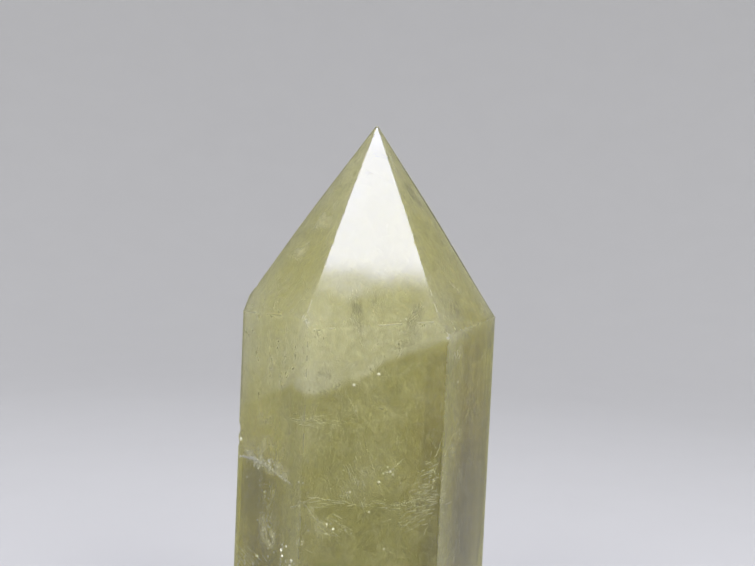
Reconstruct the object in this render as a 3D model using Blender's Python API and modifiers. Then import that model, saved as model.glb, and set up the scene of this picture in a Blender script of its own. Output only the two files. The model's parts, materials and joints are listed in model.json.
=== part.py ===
"""Citrine crystal point: one six-sided quartz crystal, cut and polished to a point, on a flat sawn base.

Metres, +Z up. The origin is the centre of the base, the prism's axis is Z, and its front face looks
towards -Y. Angles in plan are degrees from +X, turning towards +Y.
"""

import math

import bmesh
import bpy
from mathutils import Matrix, Vector

MM = 0.001

# Driving dimensions
SIDES = 6
ACROSS_CORNERS = 42.0 * MM
TIP = Vector((-0.3 * MM, 0.0, 100.0 * MM))  # where the six tip facets would meet, before the edges are eased
BASE_CHAMFER = 0.9 * MM
EDGE_EASING = 0.22 * MM  # the small rounding that polishing leaves along every edge
EASING_STEPS = 2
SHARP_EDGE = math.radians(20)
SAME_POINT = 0.1 * MM

# Each facet of the tip: the way it faces in plan, and how far it leans in from upright, both in degrees.
# They were cut by hand, so no two are quite alike.
TIP_FACETS = {
    "front": (266.6, 30.1),
    "front_right": (328.0, 30.2),
    "back_right": (31.0, 30.5),
    "back": (91.5, 29.6),
    "back_left": (151.0, 31.9),
    "front_left": (208.7, 29.9),
}

# Nicks in the ridges between two tip facets: the facets, the height, and the width of the nick.
RIDGE_NICKS = (
    ("front", "front_left", 85.3 * MM, 0.55 * MM),
    ("front", "front_left", 80.6 * MM, 0.70 * MM),
    ("front", "front_left", 69.6 * MM, 0.90 * MM),
    ("front", "front_right", 81.0 * MM, 0.80 * MM),
    ("front_right", "back_right", 80.9 * MM, 0.70 * MM),
    ("front_left", "back_left", 72.6 * MM, 0.80 * MM),
)

# Nicks in the prism's upright edges: the edge's direction in plan, the height, and the width of the nick.
EDGE_NICKS = (
    (180, 48.9 * MM, 1.50 * MM),
    (180, 46.6 * MM, 0.90 * MM),
    (240, 67.4 * MM, 1.00 * MM),
    (240, 66.5 * MM, 0.60 * MM),
    (300, 66.6 * MM, 0.70 * MM),
)
NICK_BITE = 0.32  # how deep a nick goes, as a share of its width
NICK_STRETCH = 1.5  # how much longer a nick is along its edge than across it
NICK_ROUNDS = 2

CITRINE = (0.60, 0.58, 0.24, 1.0)
CITRINE_IOR = 1.544


def clear_scene():
    for thing in list(bpy.data.objects):
        bpy.data.objects.remove(thing, do_unlink=True)


def new_collection(name):
    made = bpy.data.collections.new(name)
    bpy.context.scene.collection.children.link(made)
    return made


def facet_normal(name):
    turn, lean = (math.radians(angle) for angle in TIP_FACETS[name])
    return Vector((math.cos(turn) * math.cos(lean), math.sin(turn) * math.cos(lean), math.sin(lean)))


def cut_flat(bm, point, normal):
    """Takes off all that lies beyond a plane, and closes the cut with one flat face."""
    everything = bm.verts[:] + bm.edges[:] + bm.faces[:]
    bmesh.ops.bisect_plane(bm, geom=everything, plane_co=point, plane_no=normal, clear_outer=True)
    rim = [edge for edge in bm.edges if edge.is_boundary]
    bmesh.ops.holes_fill(bm, edges=rim)


def hexagonal_bar(bm):
    """The prism as it stood before the tip was cut, on its base, with a corner towards +X."""
    height = TIP.z
    bmesh.ops.create_cone(
        bm,
        cap_ends=True,
        segments=SIDES,
        radius1=ACROSS_CORNERS / 2,
        radius2=ACROSS_CORNERS / 2,
        depth=height,
        matrix=Matrix.Translation((0, 0, height / 2)) @ corner_towards_x(),
    )


def corner_towards_x():
    """create_cone puts its first corner on +Y, so it is turned by a quarter."""
    return Matrix.Rotation(math.radians(90), 4, "Z")


def chamfer_base(bm):
    base_rim = [edge for edge in bm.edges if all(abs(vert.co.z) < 0.01 * MM for vert in edge.verts)]
    bmesh.ops.bevel(
        bm, geom=base_rim, offset=BASE_CHAMFER, offset_type="OFFSET", segments=1, profile=0.5, affect="EDGES",
        material=-1,
    )


def build_crystal(collection, material, nick_cutters):
    bm = bmesh.new()
    hexagonal_bar(bm)
    for name in TIP_FACETS:
        cut_flat(bm, TIP, facet_normal(name))
    bmesh.ops.remove_doubles(bm, verts=bm.verts, dist=SAME_POINT)  # the six facets meet in one corner
    chamfer_base(bm)
    bmesh.ops.recalc_face_normals(bm, faces=bm.faces)
    mesh = bpy.data.meshes.new("crystal")
    bm.to_mesh(mesh)
    bm.free()
    mesh.materials.append(material)
    crystal = bpy.data.objects.new("crystal", mesh)
    collection.objects.link(crystal)

    easing = crystal.modifiers.new("eased_edges", "BEVEL")
    easing.width = EDGE_EASING
    easing.segments = EASING_STEPS
    easing.limit_method = "ANGLE"
    easing.angle_limit = SHARP_EDGE

    nicks = crystal.modifiers.new("nicks", "BOOLEAN")
    nicks.operation = "DIFFERENCE"
    nicks.operand_type = "COLLECTION"
    nicks.collection = nick_cutters
    nicks.solver = "EXACT"
    return crystal


def nick_cutter(name, place, outward, along, width, cutters):
    """A small stretched ball, sunk into an edge so far that it takes a shell-shaped chip out of it."""
    bm = bmesh.new()
    bmesh.ops.create_icosphere(bm, subdivisions=NICK_ROUNDS, radius=1.0)
    mesh = bpy.data.meshes.new(name)
    bm.to_mesh(mesh)
    bm.free()
    along = along.normalized()
    across = along.cross(outward).normalized()
    out = across.cross(along)
    axes = Matrix((across, along, out)).transposed().to_4x4()
    size = Matrix.Diagonal((width / 2, width / 2 * NICK_STRETCH, width / 2, 1.0))
    centre = place + out * width * (0.5 - NICK_BITE)
    mesh.transform(Matrix.Translation(centre) @ axes @ size)
    cutter = bpy.data.objects.new(name, mesh)
    cutter.hide_render = True
    cutter.display_type = "WIRE"
    cutters.objects.link(cutter)


def ridge_nick(number, facet_a, facet_b, height, width, cutters):
    normal_a, normal_b = facet_normal(facet_a), facet_normal(facet_b)
    downhill = normal_a.cross(normal_b)
    place = TIP + downhill * ((height - TIP.z) / downhill.z)
    nick_cutter(f"ridge_nick_{number}", place, normal_a + normal_b, downhill, width, cutters)


def edge_nick(number, direction, height, width, cutters):
    turn = math.radians(direction)
    outward = Vector((math.cos(turn), math.sin(turn), 0))
    place = outward * ACROSS_CORNERS / 2 + Vector((0, 0, height))
    nick_cutter(f"edge_nick_{number}", place, outward, Vector((0, 0, 1)), width, cutters)


def citrine_material():
    material = bpy.data.materials.new("citrine")
    material.use_nodes = True
    shader = material.node_tree.nodes["Principled BSDF"]
    shader.inputs["Base Color"].default_value = CITRINE
    shader.inputs["Roughness"].default_value = 0.04
    shader.inputs["Metallic"].default_value = 0.0
    shader.inputs["IOR"].default_value = CITRINE_IOR
    shader.inputs["Transmission Weight"].default_value = 1.0
    return material


def main():
    clear_scene()
    crystal_point = new_collection("citrine_crystal_point")
    cutters = new_collection("cutters")
    for number, (facet_a, facet_b, height, width) in enumerate(RIDGE_NICKS, start=1):
        ridge_nick(number, facet_a, facet_b, height, width, cutters)
    for number, (direction, height, width) in enumerate(EDGE_NICKS, start=1):
        edge_nick(number, direction, height, width, cutters)
    build_crystal(crystal_point, citrine_material(), cutters)


main()
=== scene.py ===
# %% [markdown]
# # A citrine crystal point
#
# The object is one piece of citrine, a yellow-green quartz: a six-sided prism cut and polished to a point.
# Most of its look is inside it. The stone is clear enough to see into, and it holds milky haze, thin veils,
# needles and specks, which catch the light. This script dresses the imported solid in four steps: the camera
# and the studio, the polished skin, the clear material, and then what lies inside.

import json
import math
import random

import bmesh
import bpy
from mathutils import Matrix, Vector, noise
from mathutils.bvhtree import BVHTree

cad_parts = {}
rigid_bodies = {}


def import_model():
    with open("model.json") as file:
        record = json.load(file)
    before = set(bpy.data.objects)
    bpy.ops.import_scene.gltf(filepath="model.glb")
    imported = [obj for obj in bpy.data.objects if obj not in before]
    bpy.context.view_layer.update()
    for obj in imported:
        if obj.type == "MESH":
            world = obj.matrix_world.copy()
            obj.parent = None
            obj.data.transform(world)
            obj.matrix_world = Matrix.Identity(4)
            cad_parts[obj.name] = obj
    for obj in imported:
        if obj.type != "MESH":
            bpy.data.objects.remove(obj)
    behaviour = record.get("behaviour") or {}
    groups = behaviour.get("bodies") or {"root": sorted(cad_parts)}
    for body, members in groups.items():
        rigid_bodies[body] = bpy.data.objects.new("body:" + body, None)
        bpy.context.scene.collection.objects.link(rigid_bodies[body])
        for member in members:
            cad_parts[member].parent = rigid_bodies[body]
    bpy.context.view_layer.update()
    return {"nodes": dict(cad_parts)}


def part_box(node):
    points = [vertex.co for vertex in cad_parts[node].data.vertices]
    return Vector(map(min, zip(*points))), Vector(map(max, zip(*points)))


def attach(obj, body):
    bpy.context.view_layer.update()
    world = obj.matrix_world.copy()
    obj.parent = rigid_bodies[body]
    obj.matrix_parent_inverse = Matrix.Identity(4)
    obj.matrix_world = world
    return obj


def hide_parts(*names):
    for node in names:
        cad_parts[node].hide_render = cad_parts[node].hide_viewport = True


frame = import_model()
scene = bpy.context.scene
MM = 0.001
solid_low, solid_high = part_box("crystal")
print("the packed crystal is", [round((high - low) / MM, 1) for low, high in zip(solid_low, solid_high)], "mm")

# %% [markdown]
# ## The camera
#
# A photographer's 50 mm lens, close to the crystal, level with its shoulders and looking a little down.
# The camera stands a few degrees to the left of the front face and leans sideways by a few degrees.
# Its place is worked out from those angles, so that it can be read and changed.

# %% The camera
PICTURE = (755, 566)  # pixels
LENS, SENSOR = 50.0, 36.0  # mm
CAMERA_TURN, CAMERA_RISE, CAMERA_LEAN = (math.radians(angle) for angle in (-4.52, 3.52, 2.60))
CAMERA_DISTANCE = 173.9 * MM
AIM_HEIGHT, AIM_RIGHT = 73.9 * MM, 0.94 * MM

camera_back = Vector((
    math.sin(CAMERA_TURN) * math.cos(CAMERA_RISE),
    -math.cos(CAMERA_TURN) * math.cos(CAMERA_RISE),
    math.sin(CAMERA_RISE),
))
level_right = Vector((math.cos(CAMERA_TURN), math.sin(CAMERA_TURN), 0))
level_up = camera_back.cross(level_right)
camera_right = math.cos(CAMERA_LEAN) * level_right + math.sin(CAMERA_LEAN) * level_up
camera_up = -math.sin(CAMERA_LEAN) * level_right + math.cos(CAMERA_LEAN) * level_up
camera_place = level_right * AIM_RIGHT + Vector((0, 0, AIM_HEIGHT)) + camera_back * CAMERA_DISTANCE

lens = bpy.data.cameras.new("camera")
lens.lens, lens.sensor_width, lens.clip_start = LENS, SENSOR, 1 * MM
camera = bpy.data.objects.new("camera", lens)
camera.matrix_world = Matrix.Translation(camera_place) @ Matrix(
    (camera_right, camera_up, camera_back)
).transposed().to_4x4()
scene.collection.objects.link(camera)
scene.camera = camera

# %% [markdown]
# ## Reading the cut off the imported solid
#
# A crystal point is cut from a rough block: the lapidary grinds one flat after another until only the six
# sides, the six facets of the tip and the base are left. The same can be done here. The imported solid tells
# where its flats are, and a block cut along those planes gives the same stone, as fine as we like and at any
# inset, which the cloudy body inside it will need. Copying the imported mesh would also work, but its triangles
# would have to be cleaned first, and it can't be shrunk face by face.

# %% The planes of the flats
SAME_WAY = math.cos(math.radians(1))
SAME_REACH = 0.1 * MM
SMALLEST_FLAT = 15 * MM**2


def read_flats(mesh):
    """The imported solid's flats, largest first: the way each one faces, and how far it is from the origin."""
    flats = []
    for face in sorted(mesh.polygons, key=lambda polygon: -polygon.area):
        reach = face.normal.dot(face.center)
        for flat in flats:
            if flat["faces"].dot(face.normal) > SAME_WAY and abs(flat["reach"] - reach) < SAME_REACH:
                flat["area"] += face.area
                break
        else:
            flats.append({"faces": face.normal.copy(), "reach": reach, "area": face.area})
    return sorted((flat for flat in flats if flat["area"] > SMALLEST_FLAT), key=lambda flat: -flat["area"])


flats = read_flats(frame["nodes"]["crystal"].data)
tip_flats = [flat for flat in flats if flat["faces"].z > 0.3]
side_flats = [flat for flat in flats if abs(flat["faces"].z) < 0.02]
print(len(flats), "flats:", len(side_flats), "sides,", len(tip_flats), "on the tip")

# %% [markdown]
# ## The cut and the polish
#
# `cut_from_block` starts from a cube and takes off what lies beyond each plane with bisect_plane. A facet that
# was ground by hand isn't quite flat: it bulges by about a quarter of a millimetre, which shows in the tip's
# outline. So the tip is sliced across, and each slice is moved out a little. The edges are then eased with
# a bevel, as polishing felt eases them.

# %% Cut a stone from a block
BLOCK = 0.25
SAME_POINT = 0.1 * MM


def slice_off(bm, point, facing):
    """Takes off all that lies beyond a plane and closes the cut."""
    everything = bm.verts[:] + bm.edges[:] + bm.faces[:]
    bmesh.ops.bisect_plane(bm, geom=everything, plane_co=point, plane_no=facing, clear_outer=True)
    bmesh.ops.holes_fill(bm, edges=[edge for edge in bm.edges if edge.is_boundary])


def cut_from_block(inset=0.0):
    """The stone's flats, cut from a block, with every flat moved in by the inset."""
    bm = bmesh.new()
    bmesh.ops.create_cube(bm, size=BLOCK)
    for flat in flats:
        slice_off(bm, flat["faces"] * (flat["reach"] - inset), flat["faces"])
    bmesh.ops.remove_doubles(bm, verts=bm.verts, dist=SAME_POINT)
    bmesh.ops.recalc_face_normals(bm, faces=bm.faces)
    return bm


# %% Crown the tip and ease the edges
CROWN = 0.25 * MM
CROWN_FROM = 70.5 * MM
CROWN_SLICES = 14
EASING, EASING_STEPS = 0.22 * MM, 3
SHARP = math.radians(20)


def crowned(place, top):
    """Where a point of the flat tip ends up once the tip is crowned."""
    share = min(max((place.z - CROWN_FROM) / (top - CROWN_FROM), 0), 1)
    away = Vector((place.x, place.y, 0)).normalized()
    return place + away * CROWN * math.sin(math.pi * share) ** 2


def crown_tip(bm, top):
    """Bulges the tip's facets by slicing them across and moving each slice out from the axis."""
    for number in range(CROWN_SLICES):
        height = CROWN_FROM + (top - CROWN_FROM) * number / CROWN_SLICES
        everything = bm.verts[:] + bm.edges[:] + bm.faces[:]
        bmesh.ops.bisect_plane(bm, geom=everything, plane_co=(0, 0, height), plane_no=(0, 0, 1))
    for vert in bm.verts:
        if vert.co.to_2d().length > SAME_POINT:
            vert.co = crowned(vert.co, top)


def ease_edges(bm):
    """Rounds every sharp edge, and marks the new faces as worn."""
    worn = bm.faces.layers.float.new("worn")
    sharp = [edge for edge in bm.edges if edge.is_manifold and edge.calc_face_angle() > SHARP]
    eased = bmesh.ops.bevel(
        bm, geom=sharp, offset=EASING, offset_type="OFFSET", segments=EASING_STEPS, profile=0.5,
        affect="EDGES", clamp_overlap=True, material=-1,
    )
    for face in eased["faces"]:
        face[worn] = 1.0


stone = cut_from_block()
stone_top = max(vert.co.z for vert in stone.verts)
crown_tip(stone, stone_top)
ease_edges(stone)
print("the tip stands at", round(stone_top / MM, 2), "mm, with", len(stone.faces), "faces so far")

# %% [markdown]
# ## Chips
#
# Quartz is brittle, and its edges carry small chips from handling. A chip is shell-shaped, with faint ripples
# that run out from where it was struck. Each is cut here by a ball whose surface is rippled, with a Boolean,
# because a dent pushed into the mesh would need a much finer mesh along the whole edge.

# %% Chip the edges
RIDGE_CHIPS = (  # two tip flats by the way they face in plan (deg), the height, and the chip's width
    (267, 209, 85.3 * MM, 0.55 * MM),
    (267, 209, 80.6 * MM, 0.70 * MM),
    (267, 209, 69.6 * MM, 0.90 * MM),
    (267, 328, 81.0 * MM, 0.80 * MM),
    (328, 31, 80.9 * MM, 0.70 * MM),
    (209, 151, 72.6 * MM, 0.80 * MM),
)
SIDE_CHIPS = (  # the upright edge by its way in plan (deg), the height, and the chip's width
    (180, 48.9 * MM, 1.50 * MM),
    (180, 46.6 * MM, 0.90 * MM),
    (240, 67.4 * MM, 1.00 * MM),
    (240, 66.5 * MM, 0.60 * MM),
    (300, 66.6 * MM, 0.70 * MM),
)
CHIP_BITE, CHIP_LENGTH = 0.32, 1.5
CHIP_RIPPLE, CHIP_RIPPLES = 0.03, 16.0
CHIP_WORN = 0.6  # a fresh break is smoother than a worn edge


def direction(turn, rise=0.0):
    """A direction from its angle in plan and its rise, both in degrees."""
    turn, rise = math.radians(turn), math.radians(rise)
    return Vector((math.cos(turn) * math.cos(rise), math.sin(turn) * math.cos(rise), math.sin(rise)))


def nearest_flat(choices, turn):
    return max(choices, key=lambda flat: flat["faces"].to_2d().normalized().dot(direction(turn).to_2d()))


def chip_ball(place, outward, along, width):
    """A rippled ball that takes a shell-shaped chip out of the edge at this place."""
    bm = bmesh.new()
    worn = bm.faces.layers.float.new("worn")
    bmesh.ops.create_icosphere(bm, subdivisions=4, radius=1.0)
    for face in bm.faces:
        face[worn] = CHIP_WORN
    struck = Vector((0, 1, 0.4)).normalized()
    for vert in bm.verts:
        vert.co *= 1 + CHIP_RIPPLE * math.sin(CHIP_RIPPLES * (vert.co - struck).length)
    along = along.normalized()
    across = along.cross(outward).normalized()
    out = across.cross(along)
    axes = Matrix((across, along, out)).transposed().to_4x4()
    size = Matrix.Diagonal((width / 2, width / 2 * CHIP_LENGTH, width / 2, 1))
    centre = Matrix.Translation(place + out * width * (0.5 - CHIP_BITE))
    bmesh.ops.transform(bm, matrix=centre @ axes @ size, verts=bm.verts)
    ball = bpy.data.objects.new("chip", bpy.data.meshes.new("chip"))
    bm.to_mesh(ball.data)
    bm.free()
    chips.objects.link(ball)


chips = bpy.data.collections.new("chips")
scene.collection.children.link(chips)
for first, second, height, width in RIDGE_CHIPS:
    one, other = nearest_flat(tip_flats, first), nearest_flat(tip_flats, second)
    downhill = one["faces"].cross(other["faces"])
    if downhill.z > 0:
        downhill.negate()
    # The ridge is where both planes and the slice at this height meet.
    place = Matrix((one["faces"], other["faces"], (0, 0, 1))).inverted() @ Vector(
        (one["reach"], other["reach"], height)
    )
    chip_ball(crowned(place, stone_top), one["faces"] + other["faces"], downhill, width)
for turn, height, width in SIDE_CHIPS:
    reach = side_flats[0]["reach"] / math.cos(math.radians(30))
    chip_ball(direction(turn) * reach + Vector((0, 0, height)), direction(turn), Vector((0, 0, 1)), width)


# %% Make the polished stone
def new_piece(name, bm, smooth=True):
    """An object at the origin, with its place in its mesh."""
    mesh = bpy.data.meshes.new(name)
    bm.to_mesh(mesh)
    bm.free()
    if smooth:
        mesh.shade_smooth()
    piece = bpy.data.objects.new(name, mesh)
    scene.collection.objects.link(piece)
    return piece


def apply_modifiers(piece):
    evaluated = piece.evaluated_get(bpy.context.evaluated_depsgraph_get())
    finished = bpy.data.meshes.new_from_object(evaluated)
    piece.modifiers.clear()
    piece.data = finished


CHIP_RIM = math.radians(28)

crystal = new_piece("crystal_polished", stone)
chipping = crystal.modifiers.new("chips", "BOOLEAN")
chipping.operation, chipping.solver = "DIFFERENCE", "EXACT"
chipping.operand_type, chipping.collection = "COLLECTION", chips
apply_modifiers(crystal)
for ball in list(chips.objects):
    bpy.data.objects.remove(ball)
bpy.data.collections.remove(chips)
crystal.data.shade_smooth()
crystal.data.set_sharp_from_angle(angle=CHIP_RIM)
flat_shading = crystal.modifiers.new("flat_faces", "WEIGHTED_NORMAL")
flat_shading.keep_sharp = True
apply_modifiers(crystal)
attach(crystal, "root")
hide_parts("crystal")
worn_faces = sum(mark.value > 0 for mark in crystal.data.attributes["worn"].data)
print("the polished stone has", len(crystal.data.polygons), "faces, and", worn_faces, "of them are worn")

# %% [markdown]
# ## Looking at the stone, and into it
#
# Three small helpers tie the camera to the stone. `meet` follows the camera's ray through one pixel to the
# polished surface. `mirror_at` gives the way that ray is reflected, which says where a lamp must stand to
# turn a facet white. `look_in` bends the ray as quartz does and follows it inside, which says where a flaw
# lies that is seen at that pixel and that depth.

# %% Follow the camera's rays
QUARTZ_IOR = 1.544
PIXELS_PER_UNIT = LENS / SENSOR * PICTURE[0]

stone_tree = BVHTree.FromObject(crystal, bpy.context.evaluated_depsgraph_get())


def meet(pixel):
    """Where the camera's ray through a pixel meets the stone: the place, the surface's normal and the ray."""
    across = (pixel[0] - PICTURE[0] / 2) / PIXELS_PER_UNIT
    upward = (PICTURE[1] / 2 - pixel[1]) / PIXELS_PER_UNIT
    ray = (camera_right * across + camera_up * upward - camera_back).normalized()
    place, normal, _, _ = stone_tree.ray_cast(camera_place, ray)
    if place is None:
        raise ValueError(f"pixel {pixel} doesn't show the stone")
    return place, normal, ray


def mirror_at(pixel):
    _, normal, ray = meet(pixel)
    return ray.reflect(normal)


def look_in(pixel, depth):
    """The point inside the stone that is seen at a pixel, at this depth along the bent ray."""
    place, normal, ray = meet(pixel)
    along = ray + normal * -ray.dot(normal)
    bent = along / QUARTZ_IOR
    bent -= normal * math.sqrt(1 - bent.length_squared)
    return place + bent * depth


print("the middle of the front side is at", [round(value / MM, 1) for value in look_in((375, 430), 0)], "mm")

# %% [markdown]
# ## The studio
#
# A pale sweep, like a photographer's paper roll, but turned all the way round, so that the stone has the same
# pale world to show from every side. It is a profile spun about the axis.

# %% Lay the sweep
SWEEP_FLAT, SWEEP_ROUND, SWEEP_TOP = 0.35, 0.55, 1.15
SWEEP_ARC_STEPS, SWEEP_TURN_STEPS = 14, 96
UNDER_STONE = 0.02 * MM


def lay_sweep():
    bm = bmesh.new()
    profile = [(SWEEP_FLAT * share, 0.0) for share in (0, 0.25, 0.6, 1)]
    for step in range(1, SWEEP_ARC_STEPS + 1):
        turn = math.radians(90) * step / SWEEP_ARC_STEPS
        profile.append((SWEEP_FLAT + SWEEP_ROUND * math.sin(turn), SWEEP_ROUND * (1 - math.cos(turn))))
    profile.append((SWEEP_FLAT + SWEEP_ROUND, SWEEP_TOP))
    verts = [bm.verts.new((x, 0, z - UNDER_STONE)) for x, z in profile]
    edges = [bm.edges.new(pair) for pair in zip(verts, verts[1:])]
    bmesh.ops.spin(
        bm, geom=verts + edges, cent=(0, 0, 0), axis=(0, 0, 1), angle=math.radians(360),
        steps=SWEEP_TURN_STEPS, use_merge=True,
    )
    bmesh.ops.remove_doubles(bm, verts=bm.verts, dist=SAME_POINT)
    bmesh.ops.recalc_face_normals(bm, faces=bm.faces)
    return new_piece("paper_sweep", bm)


sweep = lay_sweep()


# %% A helper for node trees, and the paper
def add_node(tree, kind, values=None, **settings):
    """Adds a node, sets its properties by name, and its sockets by name or number."""
    made = tree.nodes.new(kind)
    for name, setting in settings.items():
        setattr(made, name, setting)
    for socket, value in (values or {}).items():
        made.inputs[socket].default_value = value
    return made


def new_material(name):
    material = bpy.data.materials.new(name)
    material.use_nodes = True
    return material, material.node_tree, material.node_tree.nodes["Principled BSDF"]


PAPER, PAPER_MOTTLE = 0.60, 0.015


def paint_paper():
    """Matt paper: a pale grey with a very faint mottle."""
    material, tree, shader = new_material("matt_paper")
    where = add_node(tree, "ShaderNodeTexCoord")
    mottle = add_node(tree, "ShaderNodeTexNoise", {"Scale": 40.0, "Detail": 5.0})
    darkest, palest = PAPER * (1 - PAPER_MOTTLE), PAPER * (1 + PAPER_MOTTLE)
    shade = add_node(tree, "ShaderNodeMapRange", {"To Min": darkest, "To Max": palest})
    tint = add_node(tree, "ShaderNodeCombineColor")
    tree.links.new(where.outputs["Object"], mottle.inputs["Vector"])
    tree.links.new(mottle.outputs["Fac"], shade.inputs["Value"])
    for channel in ("Red", "Green", "Blue"):
        tree.links.new(shade.outputs["Result"], tint.inputs[channel])
    tree.links.new(tint.outputs["Color"], shader.inputs["Base Color"])
    shader.inputs["Roughness"].default_value = 0.95
    shader.inputs["Specular IOR Level"].default_value = 0.1
    return material


sweep.data.materials.append(paint_paper())

# %% [markdown]
# ## The light
#
# A flat facet is a mirror, so a lamp only shows in it where its mirrored direction points. Each of the three
# mirror lamps is therefore placed from the stretch of the facet that it has to fill: the key turns it white,
# the skirt under it gives a paler band, and a small window lights the lower left corner. Moving a lamp by
# hand until it shows would also work, but would have to be done again for every change of the camera. Two
# large fills stand high in front, and an even, faintly warm dome gives the rest.

# %% The lamps
MIRROR_LAMPS = (  # name, top and foot pixel, spare degrees above, distance, width, radiance, fading share
    ("key_softbox", (377, 133), (372, 270), 7.0, 500 * MM, 210 * MM, 14.0, 0.08),
    ("key_skirt", (373, 262), (372, 302), 0.0, 470 * MM, 210 * MM, 3.6, 0.32),
    ("side_window", (330, 272), (318, 324), 0.0, 440 * MM, 46 * MM, 0.9, 0.35),
)
MIRROR_COLOUR = (0.73, 0.745, 1.0)
FILL_TURNS, FILL_RISE, FILL_DISTANCE = (234, 306), 42, 750 * MM
FILL_SIZE, FILL_RADIANCE, FILL_FADE = (450 * MM, 450 * MM), 6.2, 0.15
DOME_COLOUR, DOME_STRENGTH = (1.0, 0.99, 0.97, 1.0), 0.50


def fade_edges(lamp, fade):
    """Makes an area lamp dimmer towards its edges, over this share of its width and height."""
    lamp.use_nodes = True
    tree = lamp.node_tree
    glow = next(found for found in tree.nodes if found.type == "EMISSION")
    where = add_node(tree, "ShaderNodeNewGeometry")
    parts = add_node(tree, "ShaderNodeSeparateXYZ")
    both = add_node(tree, "ShaderNodeMath", operation="MULTIPLY")
    tree.links.new(where.outputs["Parametric"], parts.inputs["Vector"])
    for number, axis in enumerate(("X", "Y")):
        from_edge = add_node(tree, "ShaderNodeMath", {1: 0.5}, operation="PINGPONG")
        soft = add_node(tree, "ShaderNodeMapRange", {"From Max": fade}, interpolation_type="SMOOTHSTEP")
        tree.links.new(parts.outputs[axis], from_edge.inputs[0])
        tree.links.new(from_edge.outputs["Value"], soft.inputs["Value"])
        tree.links.new(soft.outputs["Result"], both.inputs[number])
    tree.links.new(both.outputs["Value"], glow.inputs["Strength"])


def hang_softbox(name, place, aim, size, radiance, fade):
    lamp = bpy.data.lights.new(name, "AREA")
    lamp.shape = "RECTANGLE"
    lamp.size, lamp.size_y = size
    lamp.energy = radiance * math.pi * size[0] * size[1]
    fade_edges(lamp, fade)
    softbox = bpy.data.objects.new(name, lamp)
    softbox.location = place
    softbox.rotation_euler = (aim - place).to_track_quat("-Z", "Y").to_euler()
    scene.collection.objects.link(softbox)
    return lamp


def hang_mirror_lamp(name, top, foot, spare, distance, width, radiance, fade):
    """A softbox that the facet mirrors into the camera between these two pixels."""
    place = (meet(top)[0] + meet(foot)[0]) / 2
    low = mirror_at(foot)
    high = Matrix.Rotation(math.radians(spare), 3, low.cross(mirror_at(top))) @ mirror_at(top)
    spread = high.angle(low)
    way = (high + low).normalized()
    height = 2 * distance * math.tan(spread / 2) / (1 - fade)
    # The camera's own distance adds to what the facet shows of the lamp.
    height += (meet(top)[0] - meet(foot)[0]).length
    lamp = hang_softbox(name, place + way * distance, place, (width, height), radiance, fade)
    lamp.color = MIRROR_COLOUR
    rise = math.degrees(math.asin(way.z))
    print(name, "stands", round(rise, 1), "degrees up and is", round(height / MM), "mm tall")


for mirror_lamp in MIRROR_LAMPS:
    hang_mirror_lamp(*mirror_lamp)
middle = Vector((0, 0, solid_high.z / 2))
for name, turn in zip(("left_fill", "right_fill"), FILL_TURNS):
    place = middle + direction(turn, FILL_RISE) * FILL_DISTANCE
    hang_softbox(name, place, middle, FILL_SIZE, FILL_RADIANCE, FILL_FADE)
dome = bpy.data.worlds.new("dome")
dome.use_nodes = True
dome.node_tree.nodes["Background"].inputs["Color"].default_value = DOME_COLOUR
dome.node_tree.nodes["Background"].inputs["Strength"].default_value = DOME_STRENGTH
scene.world = dome

# %% [markdown]
# ## Soft patterns in space
#
# Milk, smoke and worn polish vary through the stone with no clear borders. Each pattern is worked out from
# the place in the stone, with noise and smooth steps. A painted image would need a map of the surface, and
# it couldn't go on into the depth.

# %% Helpers for soft patterns
def combine(tree, operation, first, second, third=None):
    """A Math node on sockets or numbers."""
    made = add_node(tree, "ShaderNodeMath", operation=operation)
    for number, value in enumerate((first, second, third)):
        if isinstance(value, (int, float)):
            made.inputs[number].default_value = value
        elif value is not None:
            tree.links.new(value, made.inputs[number])
    return made.outputs["Value"]


def remap(tree, value, low, high, to_low=0.0, to_high=1.0):
    """A smooth step from one range to another."""
    made = add_node(
        tree, "ShaderNodeMapRange", {"From Min": low, "From Max": high, "To Min": to_low, "To Max": to_high},
        interpolation_type="SMOOTHSTEP",
    )
    tree.links.new(value, made.inputs["Value"])
    return made.outputs["Result"]


def remap_flat(tree, value, low, high, to_low, to_high):
    """A straight change from one range to another."""
    made = add_node(
        tree, "ShaderNodeMapRange", {"From Min": low, "From Max": high, "To Min": to_low, "To Max": to_high}
    )
    tree.links.new(value, made.inputs["Value"])
    return made.outputs["Result"]


def cloud(tree, where, scale, low, high, detail=3.0, distortion=0.8, stretch=(1, 1, 1), moved=(0, 0, 0)):
    """Soft noise, 0 where the noise is under low and 1 where it is over high."""
    placed = add_node(tree, "ShaderNodeMapping", {"Location": moved, "Scale": stretch})
    noisy = add_node(
        tree, "ShaderNodeTexNoise", {"Scale": scale, "Detail": detail, "Distortion": distortion}
    )
    tree.links.new(where, placed.inputs["Vector"])
    tree.links.new(placed.outputs["Vector"], noisy.inputs["Vector"])
    return remap(tree, noisy.outputs["Fac"], low, high)


# %% [markdown]
# ## Clear citrine
#
# Glass in Blender is a Principled BSDF with a transmission of 1 and the stone's index of refraction. Its
# colour isn't on the surface: it comes from the way the stone takes light off over its depth, blue most, so
# thick places are deeper in colour than thin ones. That is a Volume Absorption node.
#
# The polish isn't perfect. A facet ground by hand has long shallow waves, which bend the edge of the
# reflection, and a few dull smears. The eased edges are worn matt, and so they catch light from all round,
# as thin bright lines. The edges are known by the mark that the bevel's faces were given.

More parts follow.
